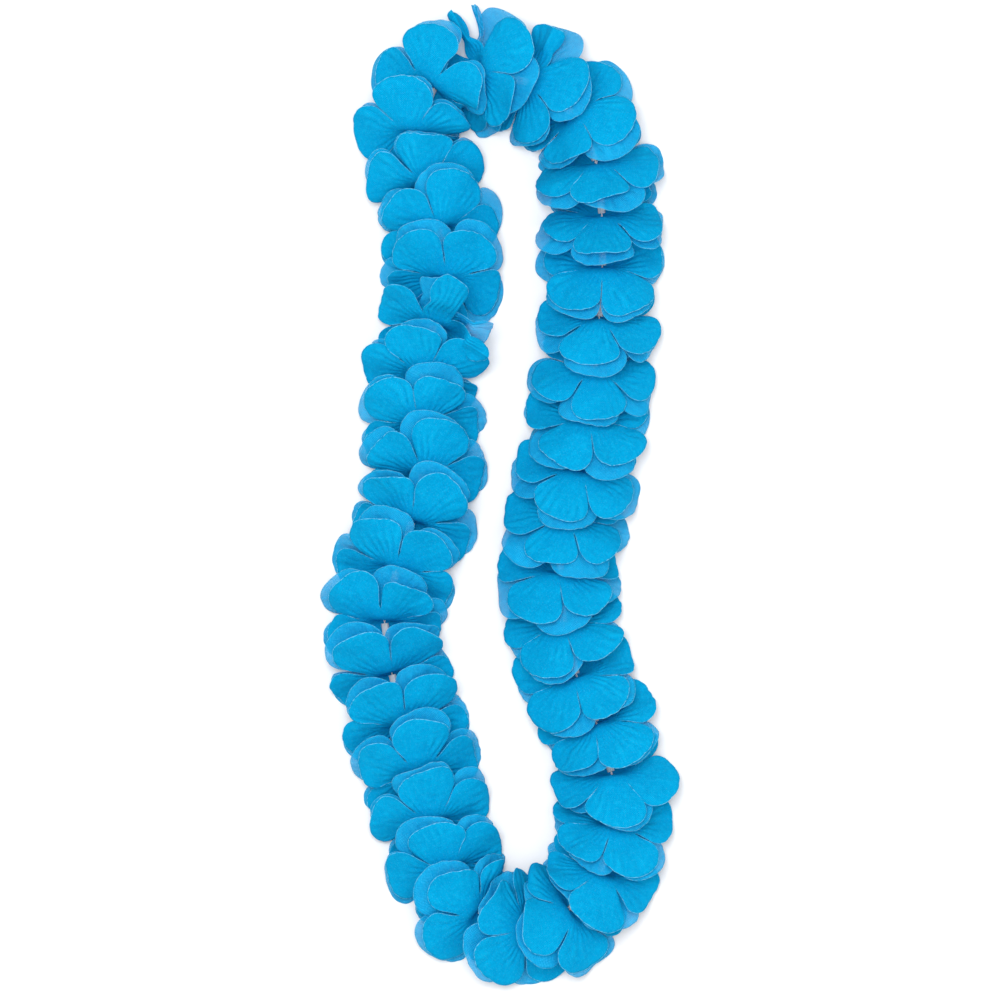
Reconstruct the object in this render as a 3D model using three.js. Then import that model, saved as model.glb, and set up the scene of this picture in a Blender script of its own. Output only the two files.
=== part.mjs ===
// An artificial flower lei, laid flat in a long closed loop.
//
// Cut cloth flowers are threaded on a white string, with a length of clear drinking straw between
// each pair to hold them apart. A flower is two layers of cloth, five petals to a layer, pinched
// together at the punched hole. Lying on a surface, each flower leans forward over the next one
// round the loop, like a row of tiles, and its lower petals bend flat where they meet the surface.
//
// Millimetres and degrees. +Z is up, the surface is z = 0, the loop's long side lies along Y.
//
// Cloth is first laid out beside a straight string, in three distances: ahead along the string,
// to its left, and up from the surface. It is then carried round the string's bends.

import * as THREE from 'three';

// ---- driving dimensions -------------------------------------------------------------------

const UPPER_RADIUS = 33; // hole to petal tip, in the layer that faces up
const UNDER_RADIUS = 35; // the same in the layer below it
const SIZE_SPREAD = 0.06; // petals differ in length by this share
const SLIT_RADIUS = 12; // the cuts between petals end here
const SLIT_WIDTH = 1.6; // at the petals' shoulders
const SLIT_OPENING = 6; // a cut reaches its width this far out from its end
const SHOULDER = 0.72; // a petal's straight sides end at this share of its radius
const ROUNDNESS = 2.4; // the power of the curve over a petal's tip
const PETALS = 5;
const CLOTH = 0.75; // one layer's thickness

const HOLE_RADIUS = 1.7; // to the corners of the punched hole
const PINCH_RADIUS = 1.5; // inside this the cloth stands square to the string
const BEND_RADIUS = 9; // outside this it lies at its full lean
const CROTCH_RADIUS = 5; // the two layers part here
const CROTCH_HALF = 0.95; // half the flower's thickness there

const CUP = 3; // each layer lifts away from the other by this angle
const CUP_FROM = 2; // the two layers begin to lift apart this far out
const CUP_TO = 4; // and lift by their full angle from here
const HUB_CUP = 7; // they lift by this much more near the hole
const HUB_CUP_FROM = 8; // where that begins to fade
const HUB_CUP_TO = 18; // and where it ends
const CURL_SPREAD = 14; // petals curl up or down at their tips within this angle
const ARCH_RADIUS = 46; // the side petals droop as if laid over a roller of this radius
const FLOOR_EASE = 5; // the cloth starts to bend flat this high above its resting height
const FLOOR_PRESS = 1; // and would be quite flat this far below it, so that it does touch
const LAYER_GAP = 0.5; // between two layers that both lie on the surface
const TOUCHING = 0.2; // cloth this close to the surface lies flat on it

const STRING_HEIGHT = 14;
const STRING_RADIUS = 0.5;
const STRAW_RADIUS = 1.85;
const STRAW_LENGTH = 20;
const STRAW_SIDES = 6;
const KNOT_RADIUS = 1.1;
const KNOT_LENGTH = 1;
const KNOT_FROM_HOLE = 1.6; // from the hole ahead, to the knot's middle
const KNOT_AFTER = 21; // the knot is tied between this flower and the next

const BEND_EASE = 6; // the string's direction is taken over this far each way
const BEND_REACH = 14; // and its sharpness over this far
const CROWDING = 0.7; // cloth inside a bend stops at this share of the bend's radius
const KEEPS_FORM = { inside: 0.05, outside: 0.8 }; // how little a petal's tip bends with the string
const MARCH_STEPS = 24; // from the hole out to a point of the cloth
const ROUTE_DIVISIONS = 1600; // for measuring along the route

// The string's way round the loop, seen from above, clockwise from the lower end.
const ROUTE = [
  [-12, -204.5], [-28.5, -178], [-39, -142], [-51, -100], [-58.5, -62], [-50, -27],
  [-39, 10], [-40, 48], [-36, 78], [-28, 112], [-34, 150], [-43.5, 182], [-31, 209],
  [-4, 214], [24, 204], [44, 183], [50, 150], [50.5, 112], [47, 70], [41, 28],
  [31.5, -16], [29.5, -50], [38.5, -90], [54, -128], [55.5, -165], [44, -196], [18, -212],
];

// Each flower, in the order they are threaded: its lean from upright, where a petal of the upper
// and of the under layer points (from straight ahead, to the left), and how far it has slipped
// along the string from its even place.
const FLOWERS = [
  [66, 2, 12, 0],
  [68, 0, 10, 0],
  [68, -3, 0, 0],
  [66, -15, -15, 0],
  [58, 28, 36, 0],
  [58, 30, 36, 0],
  [60, -25, -12, 1],
  [66, 40, 28, 2],
  [66, 44, 36, 2],
  [68, -22, -10, 1],
  [68, -25, -14, 1],
  [66, 20, 14, 0],
  [60, 0, 14, -1],
  [68, 36, 22, -2],
  [72, -30, -18, -3],
  [70, -12, 0, -4],
  [70, 24, 14, -4],
  [66, 38, 30, -5],
  [60, 36, 36, -5],
  [66, 18, 12, -5],
  [66, 36, 22, -3],
  [50, 0, 12, -1],
  [45, 0, 0, 0],
  [66, 36, 36, 0],
  [62, -8, 0, 0],
  [66, 12, 0, 0],
  [66, 50, 36, 0],
  [66, -12, 0, 0],
  [66, 59, 45, 0],
  [66, 39, 25, 1],
  [66, 40, 26, 2],
  [68, 26, 14, 3],
  [66, 23, 12, 3],
  [66, 0, 14, 4],
  [66, 30, 16, 4],
  [66, 18, 14, 3],
  [66, 0, 14, 2],
  [66, 56, 42, 1],
];

// ---- helpers ------------------------------------------------------------------------------

const UP = new THREE.Vector3(0, 0, 1);
const PETAL_ANGLE = (2 * Math.PI) / PETALS;
const LAYERS = [1, -1]; // the upper and the under layer
const radians = THREE.MathUtils.degToRad;
const smooth = (from, to, x) => THREE.MathUtils.smoothstep(x, from, to);
const next = (i) => (i + 1) % PETALS;

// A seeded draw from 0 to 1 for flower, layer and petal.
function draw(flower, layer, petal) {
  const s = Math.sin(12.9898 * flower + 78.233 * (layer + 2) + 37.719 * petal) * 43758.5453;
  return s - Math.floor(s);
}

// ---- the string's route -------------------------------------------------------------------

const corners = ROUTE.map(([x, y]) => new THREE.Vector3(x, y, 0));
const route = new THREE.CatmullRomCurve3(corners, true, 'catmullrom', 0.5);
route.arcLengthDivisions = ROUTE_DIVISIONS;
const STRING_LENGTH = route.getLength();
const PITCH = STRING_LENGTH / FLOWERS.length;

function stringPoint(along) {
  return route.getPointAt(THREE.MathUtils.euclideanModulo(along / STRING_LENGTH, 1));
}

// How sharply the string bends at a place, positive to the left.
function stringBend(along) {
  const before = stringPoint(along).sub(stringPoint(along - BEND_REACH)).normalize();
  const after = stringPoint(along + BEND_REACH).sub(stringPoint(along)).normalize();
  return Math.asin(before.cross(after).z) / BEND_REACH;
}

function stringDirection(along) {
  return stringPoint(along + BEND_EASE).sub(stringPoint(along - BEND_EASE)).normalize();
}

// Carries a point that is given along the string, aside to its left and up, round the bends. Cloth
// is too stiff to bend wholly with the string: the further aside, the more it keeps the direction
// that the string has at the cloth's own station.
function besideString(along, aside, up, station = along) {
  const inward = stringBend(along) * Math.sign(aside);
  let reach = Math.abs(aside);
  if (inward > 0) {
    const room = CROWDING / inward;
    reach = room * Math.cbrt(Math.tanh((reach / room) ** 3));
  }
  reach *= Math.sign(aside);
  const bent = stringPoint(along).addScaledVector(UP.clone().cross(stringDirection(along)), reach);
  const ahead = stringDirection(station);
  const straight = stringPoint(station)
    .addScaledVector(ahead, along - station)
    .addScaledVector(UP.clone().cross(ahead), reach);
  const stiffness = inward > 0 ? KEEPS_FORM.inside : KEEPS_FORM.outside;
  return bent.lerp(straight, stiffness * smooth(0, UPPER_RADIUS, Math.abs(aside))).setZ(up);
}

const stations = FLOWERS.map(([, , , slip], i) => i * PITCH + slip);

// ---- cloth --------------------------------------------------------------------------------

// Follows the cloth of one flower's layer out from the hole along a ray, step by step, and gives
// the point of its middle surface at a radius. layer is 1 for the upper layer, -1 for the under.
function clothPoint(flower, layer, radius, angle, petal) {
  const lean = radians(FLOWERS[flower][0]);
  const floor = layer < 0 ? CLOTH / 2 : CLOTH * 1.5 + LAYER_GAP;
  const curl = CURL_SPREAD * (draw(flower, layer, petal) - 0.5);
  const point = new THREE.Vector3((-layer * CLOTH) / 2, 0, STRING_HEIGHT);
  const step = radius / MARCH_STEPS;
  for (let s = 0; s < MARCH_STEPS; s++) {
    const r = (s + 0.5) * step;
    const bent = smooth(PINCH_RADIUS, BEND_RADIUS, r);
    const slope = lean * bent;
    const droop = ((r * Math.sin(angle)) / ARCH_RADIUS) * bent;
    const cup = CUP + HUB_CUP * (1 - smooth(HUB_CUP_FROM, HUB_CUP_TO, r));
    const curled = curl * smooth(SLIT_RADIUS, UNDER_RADIUS, r);
    const tilt = (layer * cup + curled) * smooth(CUP_FROM, CUP_TO, r);
    const lift = Math.tan(radians(tilt));
    const way = new THREE.Vector3(
      Math.cos(angle) * Math.sin(slope) - lift * Math.cos(slope),
      Math.sin(angle) * Math.cos(droop),
      Math.cos(angle) * Math.cos(slope) - Math.sin(angle) * Math.sin(droop) + lift * Math.sin(slope),
    ).normalize();
    if (way.z < 0) {
      flatten(way, smooth(floor - FLOOR_PRESS, floor + FLOOR_EASE, point.z));
    }
    point.addScaledVector(way, step);
    point.z = Math.max(point.z, floor);
  }
  return besideString(stations[flower] + point.x, point.y, point.z, stations[flower]);
}

// Turns a falling direction towards level, keeping its length.
function flatten(way, share) {
  const level = Math.hypot(way.x, way.y);
  way.z *= share;
  const stretch = Math.sqrt(1 - way.z * way.z) / Math.max(level, 1e-3);
  way.x *= stretch;
  way.y *= stretch;
}

// Where a layer's first petal points, and the half way direction that both layers share at the
// hole. The under layer's petals are numbered from the one nearest the upper layer's first.
function petalAngles(flower) {
  const [, upper, under] = FLOWERS[flower];
  const pitch = 360 / PETALS;
  const turned = THREE.MathUtils.euclideanModulo(under - upper + pitch / 2, pitch) - pitch / 2;
  return {
    1: radians(upper),
    '-1': radians(upper + turned),
    hub: radians(upper + turned / 2),
  };
}

// The radius of a petal's edge, from one shoulder (across = -1) over its tip (0) to the other (1).
function edgeRadius(across, tip) {
  return tip * (SHOULDER + (1 - SHOULDER) * Math.sqrt(1 - Math.abs(across) ** ROUNDNESS));
}

// A point of a petal: across from -1 to 1, along from the slits' ends (0) to its edge (1).
function petalPoint(flower, layer, petal, across, along) {
  const length = layer > 0 ? UPPER_RADIUS : UNDER_RADIUS;
  const tip = length * (1 + SIZE_SPREAD * (draw(flower + 50, layer, petal) - 0.5));
  const radius = SLIT_RADIUS + along * (edgeRadius(across, tip) - SLIT_RADIUS);
  const opening = smooth(SLIT_RADIUS, SLIT_RADIUS + SLIT_OPENING, radius);
  const half = PETAL_ANGLE / 2 - (opening * SLIT_WIDTH) / 2 / radius;
  const angle = petalAngles(flower)[layer] + petal * PETAL_ANGLE + across * half;
  return clothPoint(flower, layer, radius, angle, petal);
}

// ---- closed bodies ------------------------------------------------------------------------

class Body {
  constructor() {
    this.points = [];
    this.triangles = [];
  }

  add(point) {
    return this.points.push(point) - 1;
  }

  face(a, b, c, turned = false) {
    this.triangles.push(turned ? [a, c, b] : [a, b, c]);
  }

  // Two triangles between the pairs a0-a1 and b0-b1.
  quad(a0, a1, b1, b0, turned = false) {
    this.face(a0, a1, b1, turned);
    this.face(a0, b1, b0, turned);
  }

  geometry() {
    const geometry = new THREE.BufferGeometry();
    const flat = this.points.flatMap((p) => [p.x, p.y, p.z]);
    geometry.setAttribute('position', new THREE.Float32BufferAttribute(flat, 3));
    geometry.setIndex(this.triangles.flat());
    geometry.computeVertexNormals();
    return geometry;
  }
}

const EDGE = [-1, -0.9, -0.55, 0, 0.55, 0.9, 1]; // the points over a petal's tip
const BELLY = 0.5; // the one point inside a petal is this far along it

// One layer's middle surface: a ring of points at the crotch, a ring at the slits' ends, then
// each petal as a fan about the one point inside it.
function layerSheet(flower, layer) {
  const points = [];
  const triangles = [];
  const { hub } = petalAngles(flower);
  for (let k = 0; k < PETALS; k++) {
    points.push(clothPoint(flower, layer, CROTCH_RADIUS, hub + (k + 0.5) * PETAL_ANGLE, 0));
  }
  const slits = points.length;
  for (let k = 0; k < PETALS; k++) {
    points.push(petalPoint(flower, layer, k, 1, 0));
  }
  const rims = [];
  for (let k = 0; k < PETALS; k++) {
    const slitBefore = slits + ((k + PETALS - 1) % PETALS);
    const slitAfter = slits + k;
    const edge = EDGE.map((across) => points.push(petalPoint(flower, layer, k, across, 1)) - 1);
    const rim = [slitBefore, ...edge, slitAfter];
    const belly = points.push(petalPoint(flower, layer, k, 0, BELLY)) - 1;
    for (let e = 0; e + 1 < rim.length; e++) {
      triangles.push([belly, rim[e], rim[e + 1]]);
    }
    triangles.push([belly, slitAfter, slitBefore]);
    rims.push(rim);
  }
  for (let k = 0; k < PETALS; k++) {
    triangles.push([k, slits + k, slits + next(k)]);
    triangles.push([k, slits + next(k), next(k)]);
  }
  return { points, triangles, rims, normals: sheetNormals(points, triangles) };
}

function sheetNormals(points, triangles) {
  const normals = points.map(() => new THREE.Vector3());
  for (const [a, b, c] of triangles) {
    const across = points[b].clone().sub(points[a]);
    const n = across.cross(points[c].clone().sub(points[a])).normalize();
    for (const i of [a, b, c]) normals[i].add(n);
  }
  return normals.map((n) => n.normalize());
}

// One flower as a closed body: both layers, joined from the hole out to the crotch.
function flowerGeometry(flower) {
  const body = new Body();
  const sheets = { 1: layerSheet(flower, 1), '-1': layerSheet(flower, -1) };
  const crotch = sheets[1].points.slice(0, PETALS).map((p, k) => {
    return p.clone().lerp(sheets[-1].points[k], 0.5);
  });
  const crotchNormals = crotch.map((_, k) => {
    return sheets[1].normals[k].clone().add(sheets[-1].normals[k]).normalize();
  });
  const inCrotch = crotch.map((p) => body.add(p));
  const holeRings = {};
  for (const layer of LAYERS) {
    const sheet = sheets[layer];
    const turned = layer < 0;
    const outer = [];
    const inner = [];
    sheet.points.forEach((p, i) => {
      if (i < PETALS) {
        outer.push(body.add(crotch[i].clone().addScaledVector(crotchNormals[i], layer * CROTCH_HALF)));
        inner.push(inCrotch[i]);
        return;
      }
      const out = p.clone().addScaledVector(sheet.normals[i], (layer * CLOTH) / 2);
      if (turned && out.z < TOUCHING) {
        out.z = 0;
      }
      outer.push(body.add(out));
      inner.push(body.add(p.clone().addScaledVector(sheet.normals[i], (-layer * CLOTH) / 2)));
    });
    for (const [a, b, c] of sheet.triangles) {
      body.face(outer[a], outer[b], outer[c], turned);
      body.face(inner[a], inner[b], inner[c], !turned);
    }
    for (const rim of sheet.rims) {
      for (let e = 0; e + 1 < rim.length; e++) {
        body.quad(outer[rim[e]], inner[rim[e]], inner[rim[e + 1]], outer[rim[e + 1]], turned);
      }
    }
    const ring = crotch.map((_, k) => body.add(holePoint(flower, layer, k)));
    for (let k = 0; k < PETALS; k++) {
      body.quad(ring[k], outer[k], outer[next(k)], ring[next(k)], turned);
    }
    holeRings[layer] = ring;
  }
  for (let k = 0; k < PETALS; k++) {
    body.quad(holeRings[1][k], holeRings[1][next(k)], holeRings[-1][next(k)], holeRings[-1][k]);
  }
  return body.geometry();
}

// A corner of the punched hole, on the flower's upper or under face.
function holePoint(flower, layer, k) {
  const angle = petalAngles(flower).hub + (k + 0.5) * PETAL_ANGLE;
  return besideString(
    stations[flower] - layer * CLOTH,
    HOLE_RADIUS * Math.sin(angle),
    STRING_HEIGHT + HOLE_RADIUS * Math.cos(angle),
  );
}

// The string and its straws as one closed ring: string through each flower's hole, a straw half
// way to the next, and the string's knot.
function stringGeometry() {
  const body = new Body();
  const rings = [];
  const addRing = (centre, direction, radius) => {
    const side = UP.clone().cross(direction).normalize();
    const top = direction.clone().cross(side);
    const ring = [];
    for (let k = 0; k < STRAW_SIDES; k++) {
      const a = ((k + 0.5) * 2 * Math.PI) / STRAW_SIDES;
      const point = centre.clone().addScaledVector(side, radius * Math.cos(a));
      ring.push(body.add(point.addScaledVector(top, radius * Math.sin(a))));
    }
    rings.push(ring);
  };
  stations.forEach((station, i) => {
    const hole = besideString(station, 0, STRING_HEIGHT);
    const far = besideString(stations[(i + 1) % stations.length], 0, STRING_HEIGHT);
    const past = besideString(stations.at(i - 1), 0, STRING_HEIGHT);
    const run = far.clone().sub(hole);
    const direction = run.clone().normalize();
    const through = hole.clone().sub(past).normalize().add(direction).normalize();
    addRing(hole, through, STRING_RADIUS);
    const middle = hole.clone().addScaledVector(run, 0.5);
    const start = middle.clone().addScaledVector(direction, -STRAW_LENGTH / 2);
    const end = middle.clone().addScaledVector(direction, STRAW_LENGTH / 2);
    addRing(start, direction, STRING_RADIUS);
    addRing(start, direction, STRAW_RADIUS);
    addRing(end, direction, STRAW_RADIUS);
    addRing(end, direction, STRING_RADIUS);
    if (i === KNOT_AFTER - 1) {
      const knot = far.clone().addScaledVector(direction, -KNOT_FROM_HOLE);
      addRing(knot.clone().addScaledVector(direction, -KNOT_LENGTH / 2), direction, STRING_RADIUS);
      addRing(knot, direction, KNOT_RADIUS);
      addRing(knot.clone().addScaledVector(direction, KNOT_LENGTH / 2), direction, STRING_RADIUS);
    }
  });
  rings.forEach((here, r) => {
    const there = rings[(r + 1) % rings.length];
    for (let k = 0; k < STRAW_SIDES; k++) {
      const l = (k + 1) % STRAW_SIDES;
      body.quad(here[k], here[l], there[l], there[k]);
    }
  });
  return body.geometry();
}

// ---- the lei ------------------------------------------------------------------------------

const cloth = new THREE.MeshStandardMaterial({ color: 0x0d9fe0, roughness: 0.85, metalness: 0 });
const clear = new THREE.MeshStandardMaterial({ color: 0xe6eef2, roughness: 0.15, metalness: 0 });

const lei = new THREE.Group();

function addPiece(name, geometry, material) {
  const mesh = new THREE.Mesh(geometry, material);
  mesh.name = name;
  lei.add(mesh);
}

FLOWERS.forEach((_, i) => {
  addPiece(`bloom_${String(i + 1).padStart(2, '0')}`, flowerGeometry(i), cloth);
});
addPiece('string_with_spacer_straws', stringGeometry(), clear);

// The lei is placed with the middle of its outline at the origin, on the surface.
const outline = new THREE.Box3().setFromObject(lei);
const middle = outline.getCenter(new THREE.Vector3());
lei.position.set(-middle.x, -middle.y, -outline.min.z);

export default lei;
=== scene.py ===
"""An artificial flower lei, laid flat in a long closed loop.

Cut cloth flowers, two layers to a flower, are threaded on a white twisted string with a length of
clear drinking straw between each pair. Every layer is a sheet of thin woven cloth that is followed
out from its punched hole, laid down beside the string and then embossed, ruffled and given its
thickness. Lengths are metres, angles degrees, +Z is up and the surface is z = 0.
"""

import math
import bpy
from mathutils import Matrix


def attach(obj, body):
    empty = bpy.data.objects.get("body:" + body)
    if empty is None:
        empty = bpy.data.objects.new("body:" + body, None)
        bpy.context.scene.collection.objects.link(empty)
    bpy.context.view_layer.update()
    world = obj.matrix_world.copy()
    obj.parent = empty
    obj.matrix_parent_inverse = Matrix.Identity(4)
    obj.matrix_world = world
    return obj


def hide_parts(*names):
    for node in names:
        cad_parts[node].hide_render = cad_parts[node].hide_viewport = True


bl_info = {
    "name": "Flower Lei",
    "version": (1, 0, 0),
    "blender": (4, 5, 0),
    "location": "View3D > Sidebar > Lei",
    "description": "Makes an artificial flower lei from its threaded flowers, straws and string",
    "category": "Add Mesh",
}

import bpy
import numpy as np
from bpy.props import FloatProperty, FloatVectorProperty, IntProperty, PointerProperty
from mathutils.bvhtree import BVHTree

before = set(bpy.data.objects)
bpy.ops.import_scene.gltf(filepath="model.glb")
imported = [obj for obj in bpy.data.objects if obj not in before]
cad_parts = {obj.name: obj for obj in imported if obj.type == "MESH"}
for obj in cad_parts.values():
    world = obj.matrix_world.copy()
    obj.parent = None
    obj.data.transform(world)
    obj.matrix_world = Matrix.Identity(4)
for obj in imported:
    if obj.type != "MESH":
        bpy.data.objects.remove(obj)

# ---- the loop ------------------------------------------------------------------------------

MM = 0.001

# The string's way round the loop in millimetres, seen from above, clockwise from the lower end.
ROUTE = [
    (-12, -204.5), (-28.5, -178), (-39, -142), (-51, -100), (-58.5, -62), (-50, -27),
    (-39, 10), (-40, 48), (-36, 78), (-28, 112), (-34, 150), (-43.5, 182), (-31, 209),
    (-4, 214), (24, 204), (44, 183), (50, 150), (50.5, 112), (47, 70), (41, 28),
    (31.5, -16), (29.5, -50), (38.5, -90), (54, -128), (55.5, -165), (44, -196), (18, -212),
]
ROUTE_MIDDLE = (-0.0784, 0.7654)  # the middle of the lei's outline on that plan
ROUTE_DIVISIONS = 120  # of each stretch between two corners, for measuring along it

# Each flower, in the order they are threaded: its lean from upright, where a petal of the upper
# and of the under layer points (from straight ahead, to the left), and how many millimetres it
# has slipped along the string from its even place.
FLOWERS = [
    (66, 2, 12, 0), (68, 0, 10, 0), (68, -3, 0, 0), (66, -15, -15, 0), (58, 28, 36, 0),
    (58, 30, 36, 0), (60, -25, -12, 1), (66, 40, 28, 2), (66, 44, 52, 2), (68, -22, -10, 1),
    (68, -25, -14, 1), (66, 20, 14, 0), (60, 0, 14, -1), (68, 36, 22, -2), (72, -30, -18, -3),
    (70, -12, -8, -4), (70, 24, 26, -4), (66, -23, -23, -5), (60, 36, 62, -5), (66, 18, 12, -5),
    (66, 36, 22, -3), (50, 0, 12, -1), (48, 0, 0, 0), (66, 36, 36, 0), (62, -8, 0, 0),
    (66, 12, 0, 0), (66, 50, 36, 0), (66, -12, 0, 0), (66, 59, 45, 0), (66, 39, 25, 1),
    (66, 40, 52, 2), (68, 26, 42, 3), (66, 23, 39, 3), (66, 0, 12, 4), (66, 30, 50, 4),
    (66, 18, 40, 3), (66, 0, 14, 2), (66, 56, 42, 1),
]

# Flowers whose under layer really sits half a petal round from the upper one.
HALF_TURNED = (29, 30)

# Flowers whose under layer is cut smaller than the upper one, so that it hardly shows.
SMALL_UNDER = (12, 13, 16, 17, 31, 32, 33, 34, 35, 36)

# Petals folded along their middles: by flower, layer (1 is the upper one) and petal, the share of
# its width that is left, the angle by which it is pulled round to the left, how much of the folded
# cloth stands up as a ridge, and the millimetres by which the petal is lifted.
FOLDS = {
    (13, 1, 0): (0.62, -8, 0.3, 4),
    (13, -1, 0): (0.7, -8, 0.3, 3),
    (13, 1, 4): (0.6, -38, 0.3, 18),
    (13, -1, 4): (0.6, -30, 0.3, 14),
    (18, 1, 1): (0.82, 1, 0.1, 0),
    (18, -1, 1): (0.74, 6, 0.1, 0),
    (18, 1, 2): (0.95, -6, 0, 0),
    (19, 1, 1): (0.2, 8, 0.5, 3),
    (19, -1, 1): (0.08, -35, 0.4, 4),
    (20, 1, 1): (0.6, 0, 0.75, 0),
}
NOT_FOLDED = (1, 0, 0, 0)

STRING_HEIGHT = 14 * MM
BEND_EASE = 6 * MM  # the string's direction is taken over this far each way
BEND_REACH = 14 * MM  # and its sharpness over this far
CROWDING = 0.7  # cloth inside a bend stops at this share of the bend's radius
KEEPS_FORM = (0.35, 0.8)  # how little a petal's tip bends with the string, inside and outside
LEAST_BEND = 1e-6  # per metre: a straight stretch is taken to bend by this much
FREE_ROOM = 1e3  # metres: beside a stretch with more room than this, nothing is crowded

STRING_BEND = 1.2 * MM  # the string turns over this far each side of a hole
STRING_STEP = 0.6 * MM  # between two rings of its mesh
PLY_SIDES = 6  # of the section of each of its two plies
PLY_SPACING = 0.9  # each ply's middle is this many of its radii from the string's middle
KNOT_AFTER = 21  # the knot is tied between this flower and the next
KNOT_FROM_HOLE = 1.5 * MM  # and this far short of the next one's hole
KNOT_SIZE = 0.24 * MM  # a third of its outer radius
KNOT_POINTS = 60
KNOT_STEP = 0.2 * MM  # between two rings of its mesh
KNOT_PLY = 0.7  # its plies are pulled as thin as this share of the string's
STRAW_SIDES = 24

# ---- the flowers ---------------------------------------------------------------------------

PETALS = 5
PETAL_DEGREES = 360 // PETALS
PETAL_ANGLE = math.radians(PETAL_DEGREES)
LAYERS = (1, -1)  # the upper and the under layer
LAYER_NAMES = {1: "upper", -1: "under"}
REACH = {1: 33 * MM, -1: 35 * MM}  # hole to petal tip
SMALL_REACH = 31.5 * MM  # and in the smaller under layers
SIZE_SPREAD = 0.06  # petals differ in length by this share
HOLE_RADIUS = 1.3 * MM  # of the punched hole
SLIT_RADIUS = 12 * MM  # the cuts between petals end here
SLIT_WIDTH = 0.3 * MM  # at the petals' shoulders, where they lie closest
SLIT_SPREAD = 1.0 * MM  # and how much wider where they lie furthest apart
SLIT_OPENING = 3 * MM  # a cut reaches its width this far out from its end
SHOULDER = 0.65  # a petal's straight sides end at this share of its radius
ROUNDNESS = (2.0, 3.6)  # the least and greatest power of the curve over a petal's tip
SCALLOP_SPREAD = 0.4  # petals differ in how many soft bows their tips have by this share
SCALLOP_START = 6  # radians within which the bows start anywhere
SCALLOP_DRIFT, DRIFT_TURN = 0.25, 3  # how unevenly they are spaced, and how fast that changes
LOPSIDED, LOPSIDED_TURN = 0.045, 2.2  # the same for how one side of a tip bulges past the other

PINCH_RADIUS = 1.5 * MM  # inside this the cloth stands square to the string
BEND_RADIUS = 9 * MM  # outside this it lies at its full lean
LAYER_ROOM = 0.75 * MM  # taken by one layer where the flower is pinched
CUP = 2  # each layer lifts away from the other by this angle
CUP_FROM, CUP_TO = 2 * MM, 4 * MM
HUB_CUP = 6  # they lift by this much more near the hole
HUB_CUP_FROM, HUB_CUP_TO = 8 * MM, 18 * MM
CURL_SPREAD = 14  # petals curl up or down at their tips within this angle
ARCH_RADIUS = 46 * MM  # the side petals droop as if laid over a roller of this radius
FLOOR_EASE = 5 * MM  # the cloth starts to bend flat this high above its resting height
FLOOR_PRESS = 1 * MM  # and would be quite flat this far below it
REST_HEIGHT = {1: 1.1 * MM, -1: 0.12 * MM}  # of a layer that lies on the surface
MARCH_STEPS = 24  # from the hole out to a point of the cloth
LEAST_RUN = 1e-3  # a step that goes nearly straight up or down still moves this share level

ACROSS_CELLS = 48  # of a petal's mesh, from side to side
ALONG_CELLS = 14  # and from the slits' ends to its edge
HUB_CELLS = 4  # from the hole to the slits' ends
FOLDED_FROM = 20 * MM  # a folded petal is fully folded from this far out
PLEAT_SHARE = 0.3  # folded to less than this share of its width, a petal is a stiff pleat
PLEAT_REACH = 1.12  # that droops less, and so reaches this much further
SIDE_FRAY = 3  # a petal's straight sides fray this many times less than its tip
FAR = 4 * MM  # gaps wider than this needn't be measured
NEIGHBOURS = 2  # flowers each way that a layer may come close to

RIB_WANDER = 3.2  # radians by which a rib may wander aside, where one rib is pi wide
RIB_WANDER_SIZE = 14 * MM  # and over what length
RIB_SHIFT = 6.28  # radians by which the ribs of two petals may be shifted
RIB_BLUNTNESS = 0.55  # below 1 a rib is broad, and the groove beside it narrow
RIB_RISE, RIB_DIP = 2.0, 1.2  # a rib's height over its groove, and the groove's depth, in depths
RIB_MEAN, RIB_SPREAD, RIB_LEAST = 0.5, 1.6, 0.05  # how the strength of ribs varies
RIB_SPREAD_SIZE = 11 * MM  # and over what length
RUFFLE_SHIFT = 19.0  # radians by which the ruffles of two petals may be shifted
RUFFLE_GROWTH = 1.5  # the power by which ruffles grow towards the tip
NOISE_STEP = 31.0  # how far apart the noises of two petals may lie
RIB_NOISE, SPREAD_NOISE, CRUMPLE_NOISE = 3.0, 9.0, 17.0  # keep the three noises apart
CLOTH_ROOM = 1.5  # this many thicknesses of a gap between two layers are always left free
GAP_SHARE = 0.42  # and each layer may move by this share of what is left of the gap
WELD = 1e-7  # points closer than this are one
# The thin single cloth has a finish lifted by painted light, with painted light showing through
# its weave.
SINGLE_FROM = {1: 2, -1: 0.05}  # how far along its petals a layer shows as thin single cloth

# Added to a flower's number, so that each thing about a petal is drawn apart from the others.
PATTERN_DRAW = 20
LENGTH_DRAW = 50
ROUNDNESS_DRAW = 60
SCALLOP_DRAW = 70
START_DRAW = 80
SLIT_DRAW = 90

# ---- the picture ---------------------------------------------------------------------------

FLOOR_SIZE = 8.0
SENSOR = 36.0  # millimetres across, as the lens's focal length is in millimetres
VIEW_DEPTH = 50.0  # the camera sees as far as this
PICTURE_WIDTH = 0.5  # across the picture, at the height of the petals
PICTURE_HEIGHT = 0.014  # of the petals above the floor
PICTURE_MIDDLE = (-0.0004, -0.0005)
LIGHTS = [  # name, place, side of the square light, share of the power
    ("key_light", (-0.3, 0.45, 3.0), 1.3, 1.0),
    ("fill_light", (1.6, -1.0, 2.0), 2.0, 0.15),
]


def smooth(start, end, x):
    """A smooth step from 0 at the start to 1 at the end."""
    t = np.clip((x - start) / (end - start), 0, 1)
    return t * t * (3 - 2 * t)


def draw(flower, layer, petal):
    """A seeded draw from 0 to 1 for a flower, layer and petal."""
    s = math.sin(12.9898 * flower + 78.233 * (layer + 2) + 37.719 * petal) * 43758.5453
    return s - math.floor(s)


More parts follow.
